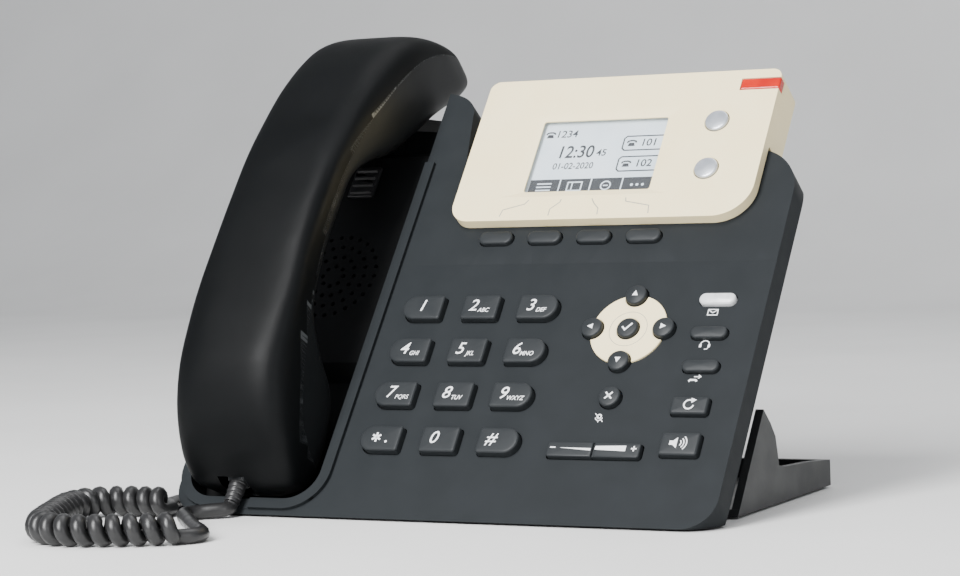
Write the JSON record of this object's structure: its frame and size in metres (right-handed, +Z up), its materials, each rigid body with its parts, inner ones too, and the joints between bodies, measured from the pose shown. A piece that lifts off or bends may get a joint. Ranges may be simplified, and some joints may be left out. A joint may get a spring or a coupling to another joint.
{
  "type": "desk ip phone",
  "caption": "Corded desk phone with a handset in a side cradle, a framed display, dial and function keys, a leaning clip-on stand and a curly cord.",
  "frame": {"origin": "on the floor under the middle of the phone without its cord", "axes": "+X to the user's right, +Y away from the user, +Z up; the face leans back 52.5 degrees from level"},
  "size_m": [0.2421, 0.2313, 0.1745],
  "materials": {
    "housing_plastic": "charcoal, fine spark texture",
    "cradle_plastic": "near black, matte",
    "key_plastic": "dark slate, satin",
    "message_key_plastic": "milky translucent",
    "line_key_plastic": "silver paint under clear coat",
    "handset_plastic": "dark slate, satin",
    "bezel_plastic": "ivory, satin",
    "window_plastic": "clear acrylic",
    "lcd_panel": "pale blue-grey",
    "lamp_plastic": "red translucent",
    "silicone": "translucent silicone",
    "circuit_board": "green solder mask",
    "jack_metal": "plated shell",
    "jack_plastic": "black",
    "stand_plastic": "black, fine texture",
    "foot_rubber": "dark grey rubber",
    "screw_steel": "zinc plated",
    "speaker_metal": "steel frame",
    "weight_steel": "plain steel",
    "cord_pvc": "black, satin",
    "plug_plastic": "smoked clear"
  },
  "bodies": {
    "root": {"front_housing": "housing_plastic", "rear_housing": "housing_plastic", "display_bezel": "bezel_plastic", "display_window": "window_plastic", "lcd_module": "lcd_panel", "message_lamp": "lamp_plastic", "nav_plate": "bezel_plastic", "hook_tab": "cradle_plastic", "loudspeaker": "speaker_metal", "keypad_mat": "silicone", "main_board": "circuit_board", "network_jacks": "jack_metal", "power_jack": "jack_plastic", "handset_jacks": "jack_plastic", "stand": "stand_plastic", "rubber_feet": "foot_rubber", "housing_screws": "screw_steel", "base_plug": "plug_plastic", "cord_handset_lead": "cord_pvc", "cord_coil": "cord_pvc", "cord_base_lead": "cord_pvc"},
    "key_1_body": {"key_1": "key_plastic"},
    "key_2_body": {"key_2": "key_plastic"},
    "key_3_body": {"key_3": "key_plastic"},
    "key_4_body": {"key_4": "key_plastic"},
    "key_5_body": {"key_5": "key_plastic"},
    "key_6_body": {"key_6": "key_plastic"},
    "key_7_body": {"key_7": "key_plastic"},
    "key_8_body": {"key_8": "key_plastic"},
    "key_9_body": {"key_9": "key_plastic"},
    "key_star_body": {"key_star": "key_plastic"},
    "key_0_body": {"key_0": "key_plastic"},
    "key_hash_body": {"key_hash": "key_plastic"},
    "soft_key_1_body": {"soft_key_1": "key_plastic"},
    "soft_key_2_body": {"soft_key_2": "key_plastic"},
    "soft_key_3_body": {"soft_key_3": "key_plastic"},
    "soft_key_4_body": {"soft_key_4": "key_plastic"},
    "nav_right_body": {"nav_right": "key_plastic"},
    "nav_up_body": {"nav_up": "key_plastic"},
    "nav_left_body": {"nav_left": "key_plastic"},
    "nav_down_body": {"nav_down": "key_plastic"},
    "nav_ok_body": {"nav_ok": "key_plastic"},
    "cancel_key_body": {"cancel_key": "key_plastic"},
    "message_key_body": {"message_key": "message_key_plastic"},
    "headset_key_body": {"headset_key": "key_plastic"},
    "transfer_key_body": {"transfer_key": "key_plastic"},
    "redial_key_body": {"redial_key": "key_plastic"},
    "speaker_key_body": {"speaker_key": "key_plastic"},
    "line_key_1_body": {"line_key_1": "line_key_plastic"},
    "line_key_2_body": {"line_key_2": "line_key_plastic"},
    "volume_rocker_body": {"volume_rocker": "key_plastic"},
    "hook_switch_body": {"hook_switch": "cradle_plastic"},
    "handset": {"handset_back_shell": "handset_plastic", "handset_front_shell": "cradle_plastic", "handset_receiver": "speaker_metal", "handset_microphone": "speaker_metal", "handset_weight": "weight_steel", "handset_socket": "jack_plastic", "handset_plug": "plug_plastic"}
  },
  "joints": [
    {"name": "key_1_press", "type": "slide", "parent": "root", "child": "key_1_body", "axis": [0, 0.7934, -0.6088], "range_m": [0, 0.0012], "stiffness_N_per_m": 400},
    {"name": "key_2_press", "type": "slide", "parent": "root", "child": "key_2_body", "axis": [0, 0.7934, -0.6088], "range_m": [0, 0.0012], "stiffness_N_per_m": 400},
    {"name": "key_3_press", "type": "slide", "parent": "root", "child": "key_3_body", "axis": [0, 0.7934, -0.6088], "range_m": [0, 0.0012], "stiffness_N_per_m": 400},
    {"name": "key_4_press", "type": "slide", "parent": "root", "child": "key_4_body", "axis": [0, 0.7934, -0.6088], "range_m": [0, 0.0012], "stiffness_N_per_m": 400},
    {"name": "key_5_press", "type": "slide", "parent": "root", "child": "key_5_body", "axis": [0, 0.7934, -0.6088], "range_m": [0, 0.0012], "stiffness_N_per_m": 400},
    {"name": "key_6_press", "type": "slide", "parent": "root", "child": "key_6_body", "axis": [0, 0.7934, -0.6088], "range_m": [0, 0.0012], "stiffness_N_per_m": 400},
    {"name": "key_7_press", "type": "slide", "parent": "root", "child": "key_7_body", "axis": [0, 0.7934, -0.6088], "range_m": [0, 0.0012], "stiffness_N_per_m": 400},
    {"name": "key_8_press", "type": "slide", "parent": "root", "child": "key_8_body", "axis": [0, 0.7934, -0.6088], "range_m": [0, 0.0012], "stiffness_N_per_m": 400},
    {"name": "key_9_press", "type": "slide", "parent": "root", "child": "key_9_body", "axis": [0, 0.7934, -0.6088], "range_m": [0, 0.0012], "stiffness_N_per_m": 400},
    {"name": "key_star_press", "type": "slide", "parent": "root", "child": "key_star_body", "axis": [0, 0.7934, -0.6088], "range_m": [0, 0.0012], "stiffness_N_per_m": 400},
    {"name": "key_0_press", "type": "slide", "parent": "root", "child": "key_0_body", "axis": [0, 0.7934, -0.6088], "range_m": [0, 0.0012], "stiffness_N_per_m": 400},
    {"name": "key_hash_press", "type": "slide", "parent": "root", "child": "key_hash_body", "axis": [0, 0.7934, -0.6088], "range_m": [0, 0.0012], "stiffness_N_per_m": 400},
    {"name": "soft_key_1_press", "type": "slide", "parent": "root", "child": "soft_key_1_body", "axis": [0, 0.7934, -0.6088], "range_m": [0, 0.0012], "stiffness_N_per_m": 400},
    {"name": "soft_key_2_press", "type": "slide", "parent": "root", "child": "soft_key_2_body", "axis": [0, 0.7934, -0.6088], "range_m": [0, 0.0012], "stiffness_N_per_m": 400},
    {"name": "soft_key_3_press", "type": "slide", "parent": "root", "child": "soft_key_3_body", "axis": [0, 0.7934, -0.6088], "range_m": [0, 0.0012], "stiffness_N_per_m": 400},
    {"name": "soft_key_4_press", "type": "slide", "parent": "root", "child": "soft_key_4_body", "axis": [0, 0.7934, -0.6088], "range_m": [0, 0.0012], "stiffness_N_per_m": 400},
    {"name": "nav_right_press", "type": "slide", "parent": "root", "child": "nav_right_body", "axis": [0, 0.7934, -0.6088], "range_m": [0, 0.0012], "stiffness_N_per_m": 400},
    {"name": "nav_up_press", "type": "slide", "parent": "root", "child": "nav_up_body", "axis": [0, 0.7934, -0.6088], "range_m": [0, 0.0012], "stiffness_N_per_m": 400},
    {"name": "nav_left_press", "type": "slide", "parent": "root", "child": "nav_left_body", "axis": [0, 0.7934, -0.6088], "range_m": [0, 0.0012], "stiffness_N_per_m": 400},
    {"name": "nav_down_press", "type": "slide", "parent": "root", "child": "nav_down_body", "axis": [0, 0.7934, -0.6088], "range_m": [0, 0.0012], "stiffness_N_per_m": 400},
    {"name": "nav_ok_press", "type": "slide", "parent": "root", "child": "nav_ok_body", "axis": [0, 0.7934, -0.6088], "range_m": [0, 0.0012], "stiffness_N_per_m": 400},
    {"name": "cancel_key_press", "type": "slide", "parent": "root", "child": "cancel_key_body", "axis": [0, 0.7934, -0.6088], "range_m": [0, 0.0012], "stiffness_N_per_m": 400},
    {"name": "message_key_press", "type": "slide", "parent": "root", "child": "message_key_body", "axis": [0, 0.7934, -0.6088], "range_m": [0, 0.0012], "stiffness_N_per_m": 400},
    {"name": "headset_key_press", "type": "slide", "parent": "root", "child": "headset_key_body", "axis": [0, 0.7934, -0.6088], "range_m": [0, 0.0012], "stiffness_N_per_m": 400},
    {"name": "transfer_key_press", "type": "slide", "parent": "root", "child": "transfer_key_body", "axis": [0, 0.7934, -0.6088], "range_m": [0, 0.0012], "stiffness_N_per_m": 400},
    {"name": "redial_key_press", "type": "slide", "parent": "root", "child": "redial_key_body", "axis": [0, 0.7934, -0.6088], "range_m": [0, 0.0012], "stiffness_N_per_m": 400},
    {"name": "speaker_key_press", "type": "slide", "parent": "root", "child": "speaker_key_body", "axis": [0, 0.7934, -0.6088], "range_m": [0, 0.0012], "stiffness_N_per_m": 400},
    {"name": "line_key_1_press", "type": "slide", "parent": "root", "child": "line_key_1_body", "axis": [0, 0.7934, -0.6088], "range_m": [0, 0.0012], "stiffness_N_per_m": 400},
    {"name": "line_key_2_press", "type": "slide", "parent": "root", "child": "line_key_2_body", "axis": [0, 0.7934, -0.6088], "range_m": [0, 0.0012], "stiffness_N_per_m": 400},
    {"name": "volume_rock", "type": "hinge", "parent": "root", "child": "volume_rocker_body", "pos_m": [0.0567, -0.04809, 0.0219], "axis": [0, 0.6088, 0.7934], "range_deg": [-2, 2], "stiffness_Nm_per_rad": 0.2},
    {"name": "handset_lift", "type": "slide", "parent": "root", "child": "handset", "axis": [0, -0.7934, 0.6088], "range_m": [0, 0.08]},
    {"name": "hook_rise", "type": "slide", "parent": "root", "child": "hook_switch_body", "axis": [0, -0.7934, 0.6088], "range_m": [0, 0.003]}
  ],
  "couplings": [
    {"joint": "hook_rise", "follows": "handset_lift", "ratio": 0.0375}
  ]
}
